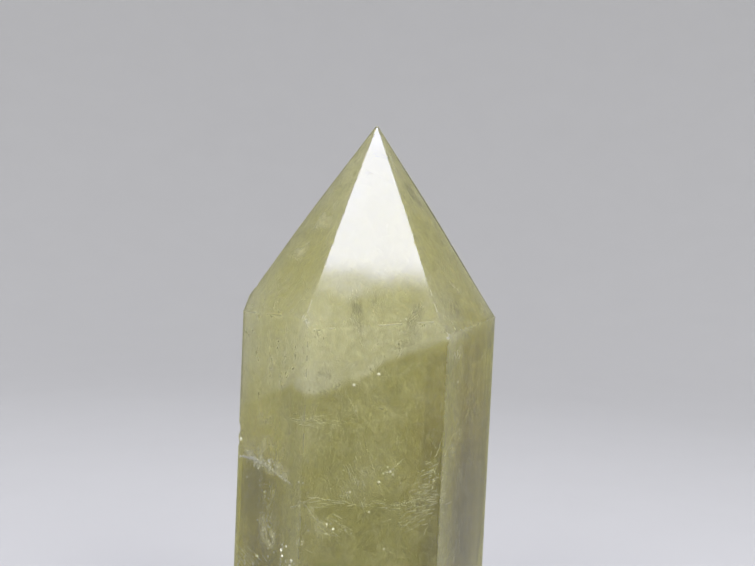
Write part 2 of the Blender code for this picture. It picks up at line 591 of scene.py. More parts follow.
# %% The clear stone
TAKEN_PER_METRE = (5.5, 6.2, 42.0)  # how much red, green and blue light the stone takes off
ABSORPTION_DENSITY = 50.0
WAVES, WAVE_HEIGHT = 130.0, 0.016 * MM
SCUFFS, LEAST_RUBBED = 500.0, 0.4
EDGE_MATT, SMEAR_MATT, POLISH = 0.35, 0.16, 0.01
SMEARS = (  # pixel, and how far the smear reaches
    ((381, 185), 3.6 * MM),
    ((356, 200), 4.0 * MM),
    ((348, 226), 4.4 * MM),
    ((368, 172), 3.0 * MM),
)


def smeared(tree, where):
    """1 in the dull smears of the front facet, broken up by noise."""
    total = 0.0
    for pixel, reach in SMEARS:
        near = add_node(tree, "ShaderNodeVectorMath", {1: meet(pixel)[0]}, operation="DISTANCE")
        tree.links.new(where, near.inputs[0])
        total = combine(tree, "MAXIMUM", remap(tree, near.outputs["Value"], 0.0, reach, 1.0, 0.0), total)
    return combine(tree, "MULTIPLY", total, cloud(tree, where, SCUFFS, 0.40, 0.75, distortion=0.0))


def clear_citrine():
    material, tree, shader = new_material("clear_citrine")
    shader.inputs["Base Color"].default_value = (1, 1, 1, 1)
    shader.inputs["IOR"].default_value = QUARTZ_IOR
    shader.inputs["Transmission Weight"].default_value = 1.0
    where = add_node(tree, "ShaderNodeTexCoord").outputs["Object"]
    worn = add_node(tree, "ShaderNodeAttribute", attribute_name="worn").outputs["Fac"]
    scuffed = cloud(tree, where, SCUFFS, 0.3, 0.7, detail=1.0, distortion=0.0)
    rubbed = combine(tree, "MULTIPLY", worn, remap_flat(tree, scuffed, 0, 1, LEAST_RUBBED, 1.0))
    matt = combine(tree, "MULTIPLY_ADD", rubbed, EDGE_MATT, POLISH)
    matt = combine(tree, "MULTIPLY_ADD", smeared(tree, where), SMEAR_MATT, matt)
    waves = add_node(tree, "ShaderNodeTexNoise", {"Scale": WAVES, "Detail": 1.0})
    bump = add_node(tree, "ShaderNodeBump", {"Strength": 1.0, "Distance": WAVE_HEIGHT})
    tree.links.new(where, waves.inputs["Vector"])
    tree.links.new(waves.outputs["Fac"], bump.inputs["Height"])
    tree.links.new(bump.outputs["Normal"], shader.inputs["Normal"])
    tree.links.new(matt, shader.inputs["Roughness"])
    kept = [1 - taken / ABSORPTION_DENSITY for taken in TAKEN_PER_METRE]
    absorption = add_node(
        tree, "ShaderNodeVolumeAbsorption", {"Color": (*kept, 1), "Density": ABSORPTION_DENSITY}
    )
    tree.links.new(absorption.outputs["Volume"], tree.nodes["Material Output"].inputs["Volume"])
    return material


crystal.data.materials.clear()
crystal.data.materials.append(clear_citrine())

# %% [markdown]
# ## The haze
#
# Countless tiny bubbles and threads make parts of the stone milky. They are far too small to model, so the
# haze is a second body just inside the polish, with a volume that scatters light where it is milky and takes
# light off where it is smoky. A pattern painted on a shell would look flat. This has depth from every side.
#
# The density is built up from a few parts: an even base, a mottle, a pale cap above a sloping line, where
# growth stopped for a while and started again, and some pools, which are soft ellipsoids of haze, of brown
# smoke or of yellow iron. The smoke also thickens towards the foot, and that is painted shade: it darkens the
# lower stone where less light falls. The haze over the open crack ends sharply at the crack's plane. The
# body's own surface carries a thin film of wisps, the milk right under the polish, which is thinner where the
# smoke, painted shade included, is dense. The film is also what is left of the milk in a model that can't
# hold a volume.

# %% The milky body
HAZE_INSET = 0.35 * MM

haze = new_piece("haze", cut_from_block(HAZE_INSET), smooth=False)
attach(haze, "root")


# %% Where the pale cap ends
CAP_FOOT_PIXELS = (
    (283, 390), (304, 397), (318, 396), (336, 388), (352, 383), (366, 377), (380, 369), (392, 362), (404, 357),
    (421, 351), (446, 344), (460, 345), (472, 338), (484, 328),
)
CAP_FOOT_DEPTH, CAP_BACK = 3 * MM, ((375, 378), 28 * MM)
CAP_SWAY = 6 * MM  # the foot stays within this distance of its plane


def plane_through(first, second, third):
    """A plane through three points: the way it faces, turned upwards, and its distance from the origin."""
    facing = (second - first).cross(third - first).normalized()
    if facing.z < 0:
        facing.negate()
    return facing, facing.dot(first)


cap_foot = [look_in(pixel, CAP_FOOT_DEPTH) for pixel in CAP_FOOT_PIXELS]
cap_up, cap_reach = plane_through(cap_foot[1], cap_foot[10], look_in(*CAP_BACK))
print("the cap's foot faces", [round(value, 2) for value in cap_up], "at", round(cap_reach / MM, 1), "mm")

# %% Helpers for a shape in space
def height_over(tree, where, facing):
    """How far a place lies along a direction."""
    made = add_node(tree, "ShaderNodeVectorMath", {1: facing}, operation="DOT_PRODUCT")
    tree.links.new(where, made.inputs[0])
    return made.outputs["Value"]


def pool(tree, where, centre, size, turn=0.0, lean=0.0, core=0.3):
    """A soft ellipsoid: 1 in its core and 0 outside. The angles, in degrees, turn it and lean it."""
    placed = add_node(
        tree, "ShaderNodeMapping", {
            "Location": centre, "Scale": size,
            "Rotation": (0, math.radians(lean), math.radians(turn)),
        }, vector_type="TEXTURE",
    )
    far = add_node(tree, "ShaderNodeVectorMath", operation="LENGTH")
    tree.links.new(where, placed.inputs["Vector"])
    tree.links.new(placed.outputs["Vector"], far.inputs[0])
    return remap(tree, far.outputs["Value"], core, 1.0, 1.0, 0.0)


def height_of_foot(tree, across):
    """The cap's foot, as a curve over the width of the stone."""
    half = solid_high.x
    share = remap_flat(tree, across, -half, half, 0.0, 1.0)
    curve = add_node(tree, "ShaderNodeFloatCurve")
    points = curve.mapping.curves[0].points
    marks = []
    for point in cap_foot:
        over = cap_up.dot(point) - cap_reach
        marks.append(((point.x + half) / (2 * half), over / (2 * CAP_SWAY) + 0.5))
    points[0].location = (0.0, marks[0][1])
    points[1].location = (1.0, marks[-1][1])
    for mark in marks:
        points.new(*mark)
    curve.mapping.update()
    tree.links.new(share, curve.inputs["Value"])
    swayed = remap_flat(tree, curve.outputs["Value"], 0.0, 1.0, -CAP_SWAY, CAP_SWAY)
    return combine(tree, "ADD", swayed, cap_reach)


# %% Wisps, for the haze and the veils
def make_wisps():
    """A node group: a see-through pattern of wisps and grains, as a mask."""
    group = bpy.data.node_groups.new("wisps", "ShaderNodeTree")
    for name, kind in (("Vector", "NodeSocketVector"), ("Scale", "NodeSocketFloat"), ("Cover", "NodeSocketFloat"),
                       ("Grain", "NodeSocketFloat")):
        group.interface.new_socket(name, in_out="INPUT", socket_type=kind)
    group.interface.new_socket("Mask", in_out="OUTPUT", socket_type="NodeSocketFloat")
    given = group.nodes.new("NodeGroupInput")
    result = group.nodes.new("NodeGroupOutput")
    broad = add_node(group, "ShaderNodeTexNoise", {"Detail": 5.0, "Roughness": 0.68, "Distortion": 0.4})
    fine = add_node(group, "ShaderNodeTexNoise", {"Detail": 2.0, "Roughness": 0.5})
    for noisy in (broad, fine):
        group.links.new(given.outputs["Vector"], noisy.inputs["Vector"])
    group.links.new(given.outputs["Scale"], broad.inputs["Scale"])
    group.links.new(combine(group, "MULTIPLY", given.outputs["Scale"], 9.0), fine.inputs["Scale"])
    cloudy = remap(group, broad.outputs["Fac"], 0.36, 0.74)
    grainy = remap(group, fine.outputs["Fac"], 0.66, 0.72)
    mask = combine(group, "MULTIPLY", cloudy, given.outputs["Cover"])
    mask = combine(group, "MULTIPLY_ADD", grainy, given.outputs["Grain"], mask)
    group.links.new(mask, result.inputs["Mask"])
    return group


def wispy(tree, where, scale, cover, grain):
    """Places the wisps group in a material and gives its mask."""
    placed = add_node(tree, "ShaderNodeGroup", node_tree=wisps)
    for name, value in (("Scale", scale), ("Cover", cover), ("Grain", grain)):
        placed.inputs[name].default_value = value
    tree.links.new(where, placed.inputs["Vector"])
    return placed.outputs["Mask"]


wisps = make_wisps()


# %% Milky and smoky quartz, with painted shade towards the foot
CAP_RAGGED, CAP_SOFT = 1.0 * MM, 0.8 * MM
RAGGED_SCALE, MOTTLE_SCALE, CAP_SCALE = 300.0, 120.0, 60.0
CAP_CLOUDY, CAP_EVEN = 0.6, 0.4  # the shares of the cap's haze that vary and that don't
HAZE_BASE, HAZE_MOTTLE, HAZE_CAP = 30.0, 110.0, 340.0
# The smoke is densest at the foot and thins out upwards to the top value: that rise towards the foot is painted
# shade, which darkens the lower stone where less light falls.
SMOKE_TOP, SMOKE_AND_SHADE_AT_FOOT, SMOKE_TIP = 12.0, 27.0, 18.0
PAINTED_SHADE_HEIGHTS, SMOKE_HIGH = (20 * MM, 62 * MM), (66 * MM, 80 * MM)  # it thins out, and comes back
IRON_BASE = 7.0
SMOKE_AND_SHADE_COLOUR = (0.45, 0.43, 0.02, 1)
IRON_COLOUR = (0.93, 0.90, 0.0, 1)
HAZE_COLOUR = (1.0, 0.99, 0.86, 1)
HAZE_STEP, HAZE_FORWARD = 6.0, 0.1
# The film's colour and its thinning follow the smoke, so they carry the painted shade towards the foot as well.
FILM_COLOURS = (  # how smoky the stone is there, and the film's colour
    (0.0, (0.80, 0.78, 0.46, 1)),
    (16.0, (0.61, 0.58, 0.20, 1)),
    (200.0, (1.0, 1.0, 1.0, 1)),
)
FILM_SCALE, FILM_STREAK = 420.0, (1, 1, 0.75)
FILM_COVER, FILM_GRAIN, FILM_CAP, FILM_IN_SMOKE_AND_SHADE = 0.26, 0.10, 0.12, 0.2
FILM_THINS, FILM_ROUGH = (40.0, 150.0), 0.6  # the smoke over which the film thins out
CRACK_POINTS = (((240, 456), 0.5 * MM), ((291, 485), 1.8 * MM), ((268, 446), 14 * MM))
CRACK_HAZE, CRACK_SOFT = 600.0, 0.3 * MM
CRACK_POOL = ((262, 432), 5 * MM, (9 * MM, 8 * MM, 10 * MM))  # pixel, depth, size
HAZE_POOLS = (  # pixel, depth, size, turn, lean, density
    ((436, 470), 9 * MM, (4.5 * MM, 6 * MM, 34 * MM), 0, 0, 90.0),
    ((322, 378), 3 * MM, (4 * MM, 3 * MM, 3 * MM), 0, 0, 250.0),
    ((265, 421), 2 * MM, (1.6 * MM, 1.4 * MM, 1.0 * MM), 0, 0, 300.0),
)
SMOKE_POOLS = (  # brown quartz, which takes all colours
    ((466, 520), 5 * MM, (9 * MM, 10 * MM, 25 * MM), 0, 0, 130.0),
    ((486, 465), 3 * MM, (5 * MM, 7 * MM, 22 * MM), 0, 0, 110.0),
    ((262, 525), 5 * MM, (8 * MM, 8 * MM, 18 * MM), 0, 0, 75.0),
    ((252, 486), 3 * MM, (6 * MM, 5 * MM, 8 * MM), 0, 0, 220.0),
    ((338, 235), 3 * MM, (2.5 * MM, 4 * MM, 18 * MM), 0, 20, 50.0),
)
IRON_POOLS = (  # yellow quartz, which takes mostly blue
    ((470, 480), 4 * MM, (12 * MM, 14 * MM, 36 * MM), 0, 0, 560.0),
    ((256, 505), 4 * MM, (10 * MM, 12 * MM, 28 * MM), 0, 0, 330.0),
    ((440, 270), 6 * MM, (12 * MM, 10 * MM, 20 * MM), 0, -28, 75.0),
    ((300, 280), 6 * MM, (11 * MM, 9 * MM, 16 * MM), 0, 28, 55.0),
)


def pooled(tree, where, start, pools):
    """Adds each pool's density to a start."""
    total = start
    for pixel, depth, size, turn, lean, density in pools:
        here = pool(tree, where, look_in(pixel, depth), size, turn, lean)
        total = combine(tree, "MULTIPLY_ADD", here, density, total)
    return total


def milky_quartz():
    material, tree, shader = new_material("milky_quartz")
    where = add_node(tree, "ShaderNodeTexCoord").outputs["Object"]
    upright = add_node(tree, "ShaderNodeSeparateXYZ")
    tree.links.new(where, upright.inputs["Vector"])
    foot = height_of_foot(tree, upright.outputs["X"])
    level = combine(tree, "SUBTRACT", height_over(tree, where, cap_up), foot)
    ragged = cloud(tree, where, RAGGED_SCALE, 0.3, 0.7, distortion=0.0)
    level = combine(tree, "MULTIPLY_ADD", ragged, CAP_RAGGED, level)
    in_cap = remap(tree, level, CAP_RAGGED * 0.5, CAP_RAGGED * 0.5 + CAP_SOFT)

    mottle = cloud(tree, where, MOTTLE_SCALE, 0.42, 0.72, distortion=0.0, stretch=(1, 1, 0.6))
    crack_up, crack_reach = plane_through(*[look_in(pixel, depth) for pixel, depth in CRACK_POINTS])
    over_crack = combine(tree, "SUBTRACT", height_over(tree, where, crack_up), crack_reach)
    over_crack = remap(tree, over_crack, -CRACK_SOFT / 2, CRACK_SOFT / 2)
    pixel, depth, size = CRACK_POOL
    crack_pool = pool(tree, where, look_in(pixel, depth), size)
    cracked = combine(tree, "MULTIPLY", crack_pool, over_crack)
    cap = cloud(tree, where, CAP_SCALE, 0.35, 0.65, detail=1.0, distortion=0.0, moved=(0.3, 0, 0))
    cap = combine(tree, "MULTIPLY_ADD", cap, CAP_CLOUDY, CAP_EVEN)
    cap = combine(tree, "MULTIPLY", cap, in_cap)
    milk = combine(tree, "MULTIPLY_ADD", mottle, HAZE_MOTTLE, HAZE_BASE)
    milk = combine(tree, "MULTIPLY_ADD", cap, HAZE_CAP, milk)
    milk = combine(tree, "MULTIPLY_ADD", cracked, CRACK_HAZE, milk)
    milk = pooled(tree, where, milk, HAZE_POOLS)

    # Painted shade: the smoke is densest at the foot and thins out upwards, so the lower stone is darker.
    smoke_and_painted_shade = remap(tree, upright.outputs["Z"], *PAINTED_SHADE_HEIGHTS, SMOKE_AND_SHADE_AT_FOOT, SMOKE_TOP)
    smoke_and_painted_shade = combine(tree, "MULTIPLY", smoke_and_painted_shade, combine(tree, "SUBTRACT", 1.0, in_cap))
    smoke_and_painted_shade = combine(tree, "ADD", smoke_and_painted_shade, remap(tree, upright.outputs["Z"], *SMOKE_HIGH, 0.0, SMOKE_TIP))
    smoke_and_painted_shade = pooled(tree, where, smoke_and_painted_shade, SMOKE_POOLS)

    scatter = add_node(tree, "ShaderNodeVolumeScatter", {"Color": HAZE_COLOUR, "Anisotropy": HAZE_FORWARD})
    tree.links.new(milk, scatter.inputs["Density"])
    inside = scatter.outputs["Volume"]
    iron = pooled(tree, where, remap_flat(tree, in_cap, 0.0, 1.0, IRON_BASE, 0.0), IRON_POOLS)
    # The smoke's absorption is partly brown smoke and partly painted shade towards the foot.
    for colour, density in ((SMOKE_AND_SHADE_COLOUR, smoke_and_painted_shade), (IRON_COLOUR, iron)):
        take = add_node(tree, "ShaderNodeVolumeAbsorption", {"Color": colour})
        both = add_node(tree, "ShaderNodeAddShader")
        tree.links.new(density, take.inputs["Density"])
        tree.links.new(inside, both.inputs[0])
        tree.links.new(take.outputs["Volume"], both.inputs[1])
        inside = both.outputs["Shader"]
    tree.links.new(inside, tree.nodes["Material Output"].inputs["Volume"])

    streaked = add_node(tree, "ShaderNodeMapping", {"Scale": FILM_STREAK})
    tree.links.new(where, streaked.inputs["Vector"])
    film = wispy(tree, streaked.outputs["Vector"], FILM_SCALE, FILM_COVER, FILM_GRAIN)
    # The film thins out where the smoke, painted shade included, is dense.
    film = combine(tree, "MULTIPLY", film, remap(tree, smoke_and_painted_shade, *FILM_THINS, 1.0, FILM_IN_SMOKE_AND_SHADE))
    tree.links.new(combine(tree, "MULTIPLY_ADD", in_cap, FILM_CAP, film), shader.inputs["Alpha"])
    # The film's colour follows the smoke as well, painted shade included.
    tint = add_node(tree, "ShaderNodeValToRGB")
    stops, most = tint.color_ramp.elements, FILM_COLOURS[-1][0]
    stops.new(FILM_COLOURS[1][0] / most)
    for stop, (_, colour) in zip(stops, FILM_COLOURS):
        stop.color = colour
    tree.links.new(combine(tree, "DIVIDE", smoke_and_painted_shade, most), tint.inputs["Fac"])
    tree.links.new(tint.outputs["Color"], shader.inputs["Base Color"])
    shader.inputs["Roughness"].default_value = FILM_ROUGH
    material.cycles.volume_step_rate = HAZE_STEP
    return material


haze.data.materials.append(milky_quartz())

# %% [markdown]
# ## Flaws in the stone
#
# What can be told apart by eye is modelled: pale threads and needles, dark mineral dust drawn out in dashes,
# glinting flakes, veils, which are healed cracks, and one open crack at the left edge. Each is placed by the
# pixel where it is seen and its depth along the bent ray, so it sits in the stone and stays there when the
# camera moves. Threads are chains of thin stretched balls rather than curves, because a healed thread is
# a row of tiny tubes, and a ball of twenty faces is cheap enough for thousands of them.

# %% Beads, threads and brushes of threads
STAY_IN = 0.45 * MM


def stay_inside(place, inset=STAY_IN):
    """Moves a point that would be outside the stone to just inside it."""
    for flat in flats:
        over = flat["faces"].dot(place) - (flat["reach"] - inset)
        if over > 0:
            place = place - flat["faces"] * over
    return place


def bead(bm, start, end, thickness):
    """A ball stretched from one point to another."""
    start, end = stay_inside(start), stay_inside(end)
    along = end - start
    turned = along.to_track_quat("Z", "Y").to_matrix().to_4x4()
    size = Matrix.Diagonal((thickness / 2, thickness / 2, max(along.length, thickness) / 2, 1))
    bmesh.ops.create_icosphere(
        bm, subdivisions=1, radius=1.0, matrix=Matrix.Translation((start + end) / 2) @ turned @ size
    )


def along_pixels(pixels, share):
    """The pixel at a share of the way along a line of pixels."""
    reach = share * (len(pixels) - 1)
    number = min(int(reach), len(pixels) - 2)
    first, second = Vector(pixels[number]), Vector(pixels[number + 1])
    return first.lerp(second, reach - number)


def thread(bm, draw, pixels, depths, thickness, beads, wander=0.4):
    """A thread along a line of pixels, from one depth to another, as a chain of beads that wander a little."""
    last = None
    for number in range(beads + 1):
        share = number / beads
        pixel = along_pixels(pixels, share) + Vector((draw.gauss(0, wander), draw.gauss(0, wander)))
        depth = depths[0] + (depths[1] - depths[0]) * share
        place = look_in(pixel, depth)
        if last is not None:
            thin = thickness * (0.5 + 0.7 * draw.random()) * (1 - 0.6 * abs(2 * share - 1))
            bead(bm, last, last.lerp(place, 1.15), thin)
        last = place


def brush(bm, draw, middle, spread, angle, length, depths, thickness, count):
    """Many short dashes that lie the same way. The middle and the spread along and across are in pixels."""
    way = Vector((math.cos(math.radians(angle)), -math.sin(math.radians(angle))))
    side = Vector((-way.y, way.x))
    for _ in range(count):
        pixel = Vector(middle) + way * draw.gauss(0, spread[0]) + side * draw.gauss(0, spread[1])
        half = way.lerp(side * draw.choice((-1, 1)), 0.12 * draw.random()) * length * (0.3 + draw.random()) / 2
        depth = draw.uniform(*depths)
        try:
            ends = look_in(pixel - half, depth), look_in(pixel + half, depth)
        except ValueError:
            continue
        bead(bm, *ends, thickness * (0.4 + 0.9 * draw.random()))


# %% Pale threads
PALE_THREADS = (  # pixels, depths, thickness, beads
    (((286, 419), (303, 424), (329, 431)), (2.0, 4.0), 0.16, 22),
    (((297, 421), (312, 417), (331, 415)), (3.0, 5.0), 0.22, 16),
    (((343, 386), (347, 396), (353, 407), (358, 421)), (2.0, 3.5), 0.15, 20),
    (((366, 446), (371, 462), (377, 480), (384, 499)), (2.5, 4.0), 0.16, 26),
    (((301, 503), (315, 498), (331, 501), (345, 502), (358, 506)), (2.0, 3.0), 0.24, 30),
    (((358, 506), (375, 503), (397, 506), (412, 501), (430, 497), (441, 494)), (3.0, 4.0), 0.22, 34),
    (((300, 501), (307, 508), (314, 517), (324, 526), (337, 535)), (2.0, 4.0), 0.26, 26),
    (((347, 478), (351, 486), (356, 498), (360, 505)), (3.0, 3.5), 0.16, 14),
    (((344, 466), (350, 476), (353, 488)), (4.0, 4.5), 0.13, 12),
    (((357, 466), (361, 478), (365, 495)), (4.0, 5.0), 0.13, 14),
    (((392, 470), (398, 464), (404, 458)), (4.0, 5.0), 0.30, 12),
    (((444, 457), (450, 443), (456, 428), (461, 414)), (3.0, 4.0), 0.20, 22),
)
HATCHES = (  # middle, spread along and across, angle, length, depths, thickness, count
    ((432, 478), (7, 7), 22, 11, (2.0, 5.0), 0.12, 24),
    ((428, 492), (9, 6), 17, 10, (2.0, 5.0), 0.11, 22),
    ((422, 512), (13, 8), 19, 12, (2.0, 6.0), 0.12, 34),
    ((405, 520), (8, 6), 26, 10, (3.0, 6.0), 0.13, 20),
    ((352, 484), (12, 8), 108, 12, (2.5, 6.0), 0.13, 34),
    ((322, 503), (14, 4), 8, 12, (2.0, 5.0), 0.14, 24),
    ((331, 527), (10, 8), -28, 11, (2.0, 5.0), 0.12, 26),
    ((389, 506), (16, 3), 4, 12, (3.0, 5.0), 0.15, 24),
    ((316, 422), (14, 3), -12, 14, (2.0, 5.0), 0.13, 20),
    ((247, 556), (6, 5), -50, 12, (1.0, 3.0), 0.18, 26),
    ((270, 505), (12, 4), 75, 8, (1.0, 4.0), 0.15, 40),
    ((300, 470), (60, 30), 80, 12, (3.0, 14.0), 0.08, 110),
    ((400, 440), (60, 50), 84, 12, (4.0, 20.0), 0.08, 150),
)


def pale_threads():
    draw = random.Random(11)
    bm = bmesh.new()
    for pixels, depths, thickness, beads in PALE_THREADS:
        thread(bm, draw, pixels, [depth * MM for depth in depths], thickness * MM, beads)
    for middle, spread, angle, length, depths, thickness, count in HATCHES:
        brush(bm, draw, middle, spread, angle, length, [depth * MM for depth in depths], thickness * MM, count)
    return new_piece("pale_threads", bm)


MINERAL_DUST, MINERAL_SHADE = 900.0, 0.75  # how fine its mottle is, and how dark it gets


def plain_mineral(name, colour, roughness, metallic=0.0):
    material, tree, shader = new_material(name)
    where = add_node(tree, "ShaderNodeTexCoord").outputs["Object"]
    dusty = cloud(tree, where, MINERAL_DUST, 0.3, 0.7)
    tint = add_node(tree, "ShaderNodeMix", data_type="RGBA")
    tint.inputs["A"].default_value = (*[value * MINERAL_SHADE for value in colour], 1)
    tint.inputs["B"].default_value = (*colour, 1)
    tree.links.new(dusty, tint.inputs["Factor"])
    tree.links.new(tint.outputs["Result"], shader.inputs["Base Color"])
    shader.inputs["Roughness"].default_value = roughness
    shader.inputs["Metallic"].default_value = metallic
    return material


threads = pale_threads()
threads.data.materials.append(plain_mineral("healed_threads", (0.92, 0.92, 0.70), 0.5))
print(len(threads.data.polygons), "faces of pale threads")

# %% Dark dashes
DARK_WANDER = 0.2  # pixels
DARK_THREADS = (
    (((316, 320), (321, 330), (328, 347), (337, 366)), (1.0, 2.5), 0.13, 26),
    (((356, 334), (360, 343), (366, 352)), (1.0, 1.5), 0.14, 14),
    (((372, 352), (375, 348), (377, 344)), (1.5, 1.5), 0.12, 7),
    (((363, 424), (364, 436), (367, 452), (369, 462)), (2.0, 2.5), 0.14, 20),
    (((316, 375), (317, 380), (319, 386)), (1.5, 1.5), 0.16, 7),
    (((400, 355), (403, 352), (407, 353)), (1.5, 1.5), 0.16, 7),
    (((312, 308), (318, 322), (322, 330)), (1.2, 1.5), 0.10, 12),
)
DARK_BRUSHES = (
    ((356, 312), (9, 2.5), 94, 11, (0.8, 2.5), 0.09, 34),
    ((360, 327), (5, 2.5), 84, 8, (0.8, 2.5), 0.08, 16),
    ((420, 309), (4, 2), 66, 7, (0.8, 2.2), 0.10, 16),
    ((411, 320), (7, 2.5), 52, 8, (0.8, 2.2), 0.11, 34),
    ((416, 330), (3, 3), 60, 6, (0.8, 2.2), 0.09, 12),
    ((405, 344), (8, 2), 16, 7, (1.0, 2.0), 0.11, 18),
    ((397, 349), (4, 1), 8, 5, (1.0, 2.0), 0.10, 8),
    ((373, 302), (4, 5), 82, 6, (0.8, 2.0), 0.07, 16),
    ((325, 374), (6, 2), 96, 8, (1.0, 3.0), 0.10, 16),
    ((453, 309), (5, 3), 105, 7, (0.6, 2.0), 0.10, 20),
    ((450, 302), (4, 4), 110, 5, (0.6, 2.0), 0.08, 14),
    ((443, 324), (4, 4), 130, 3, (0.6, 1.8), 0.12, 14),
    ((412, 190), (4, 1), -58, 4, (0.5, 1.2), 0.09, 16),
    ((419, 202), (5, 1), -58, 4, (0.5, 1.2), 0.10, 18),
    ((485, 312), (1, 2), 110, 4, (0.5, 1.2), 0.11, 5),
    ((424, 504), (10, 4), 12, 7, (4.0, 8.0), 0.10, 22),
)


def dark_dashes():
    draw = random.Random(23)
    bm = bmesh.new()
    for pixels, depths, thickness, beads in DARK_THREADS:
        thread(bm, draw, pixels, [depth * MM for depth in depths], thickness * MM, beads, DARK_WANDER)
    for middle, spread, angle, length, depths, thickness, count in DARK_BRUSHES:
        brush(bm, draw, middle, spread, angle, length, [depth * MM for depth in depths], thickness * MM, count)
    return new_piece("dark_dashes", bm)


dashes = dark_dashes()
dashes.data.materials.append(plain_mineral("dark_mineral_dust", (0.34, 0.32, 0.14), 0.7))
print(len(dashes.data.polygons), "faces of dark dashes")

# %% [markdown]
# ## Veils
#
# A crack that healed, or one that is still open, is a thin curved sheet in the stone, whitish where it holds
# air or fluid and nothing where it has closed. Each veil is a grid laid between four corners, bent by noise.
# Its material is see-through in a wispy pattern, and fades out towards the sheet's rim, which a mark on each
# point gives. A volume could make the same cloud, but not the crisp edge of the open crack on the left.

# %% Lay the veils
# Sheets 1 to 3 are at the open crack, 4 is the bubble, 5 and 6 are over the cap's foot, 9 is the whitish
# flake, and 12 to 16 are in the tip.
VEIL_CELLS, VEIL_FOLD = 22, 4 * MM
VEILS = (  # four corners round the sheet, each a pixel and a depth in mm; the bend in mm; how strong it is
    ((((240, 457), 0.4), ((291, 485), 1.6), ((290, 404), 8.0), ((243, 398), 6.0)), 0.4, 1.3),
    ((((240, 442), 0.4), ((292, 466), 1.2), ((294, 488), 1.4), ((239, 460), 0.5)), 0.1, 1.8),
    ((((242, 430), 0.4), ((282, 436), 1.0), ((284, 472), 1.2), ((241, 457), 0.5)), 0.1, 0.9),
    ((((256, 410), 1.2), ((274, 411), 1.4), ((275, 431), 2.0), ((256, 430), 1.8)), 0.1, 1.0),
    ((((300, 360), 1.6), ((348, 360), 1.8), ((347, 400), 2.8), ((302, 402), 2.8)), 0.4, 0.9),
    ((((340, 364), 2.0), ((388, 354), 2.0), ((386, 388), 3.0), ((344, 392), 3.0)), 0.4, 0.6),
    ((((446, 346), 1.0), ((463, 342), 1.2), ((464, 360), 1.6), ((447, 366), 1.4)), 0.2, 1.0),
    ((((298, 497), 1.6), ((318, 512), 2.2), ((344, 545), 4.0), ((304, 534), 3.0)), 0.5, 0.8),
    ((((258, 510), 0.6), ((280, 513), 1.0), ((281, 552), 1.6), ((258, 552), 1.2)), 0.4, 1.7),
    ((((441, 466), 1.5), ((451, 470), 2.0), ((472, 408), 3.5), ((456, 402), 3.0)), 0.3, 0.8),
    ((((398, 500), 2.5), ((446, 458), 2.0), ((446, 502), 3.2), ((400, 536), 4.0)), 0.5, 0.5),
    ((((326, 200), 0.6), ((344, 198), 0.8), ((330, 236), 1.6), ((304, 234), 1.2)), 0.2, 1.2),
    ((((298, 240), 0.6), ((324, 238), 0.9), ((308, 268), 1.6), ((280, 266), 1.2)), 0.2, 1.2),
    ((((276, 274), 0.6), ((302, 268), 0.9), ((288, 306), 1.6), ((255, 304), 1.2)), 0.2, 0.6),
    ((((384, 146), 0.5), ((389, 151), 0.5), ((407, 181), 1.0), ((397, 182), 1.0)), 0.1, 0.9),
    ((((434, 254), 0.7), ((450, 262), 0.8), ((478, 312), 1.6), ((440, 304), 1.6)), 0.3, 0.6),
    ((((312, 404), 3.0), ((430, 386), 3.0), ((432, 430), 5.0), ((312, 440), 5.0)), 0.6, 0.5),
    ((((340, 456), 3.0), ((430, 440), 3.5), ((432, 500), 5.0), ((336, 506), 5.0)), 0.8, 0.5),
    ((((246, 326), 1.0), ((304, 328), 1.4), ((304, 396), 3.0), ((244, 392), 2.6)), 0.5, 0.5),
    ((((452, 360), 1.0), ((487, 356), 1.0), ((484, 460), 2.4), ((450, 464), 2.4)), 0.5, 0.5),
)
SMEARS_OF_DUST = (  # the same, for dark dust drawn out in the stone
    ((((349, 294), 0.8), ((365, 294), 0.9), ((364, 338), 1.6), ((351, 338), 1.4)), 0.2, 1.0),
    ((((416, 298), 0.7), ((430, 302), 0.7), ((414, 342), 1.4), ((398, 334), 1.4)), 0.2, 0.9),
    ((((443, 294), 0.6), ((463, 299), 0.6), ((466, 323), 1.2), ((444, 320), 1.2)), 0.2, 0.7),
    ((((312, 364), 1.0), ((333, 362), 1.0), ((332, 392), 2.2), ((313, 394), 2.0)), 0.2, 0.8),
    ((((400, 176), 0.4), ((409, 181), 0.4), ((425, 209), 0.9), ((413, 208), 0.9)), 0.1, 0.6),
    ((((367, 290), 0.8), ((383, 290), 0.8), ((382, 314), 1.4), ((368, 312), 1.4)), 0.2, 0.4),
    ((((408, 494), 3.0), ((438, 490), 3.0), ((440, 512), 4.0), ((410, 516), 4.0)), 0.3, 0.8),
    ((((386, 340), 1.0), ((424, 332), 1.0), ((420, 354), 2.0), ((388, 360), 2.0)), 0.2, 0.4),
)


def rim_fade(first, second):
    """1 in a sheet's middle and 0 at its rim, from the two shares of the way across."""
    return math.sin(math.pi * first) * math.sin(math.pi * second)


def veil(bm, corners, bend, strength=1.0):
    """A sheet between four corners, which go round it."""
    fade = bm.verts.layers.float.get("fade")
    sheet = bmesh.ops.create_grid(bm, x_segments=VEIL_CELLS, y_segments=VEIL_CELLS, size=0.5)["verts"]
    facing = (corners[2] - corners[0]).cross(corners[3] - corners[1]).normalized()
    for vert in sheet:
        across, along = vert.co.x + 0.5, vert.co.y + 0.5
        near, far = corners[0].lerp(corners[1], across), corners[3].lerp(corners[2], across)
        place = near.lerp(far, along)
        place += facing * bend * noise.noise(place / VEIL_FOLD)
        vert[fade] = rim_fade(across, along) * strength
        vert.co = stay_inside(place)


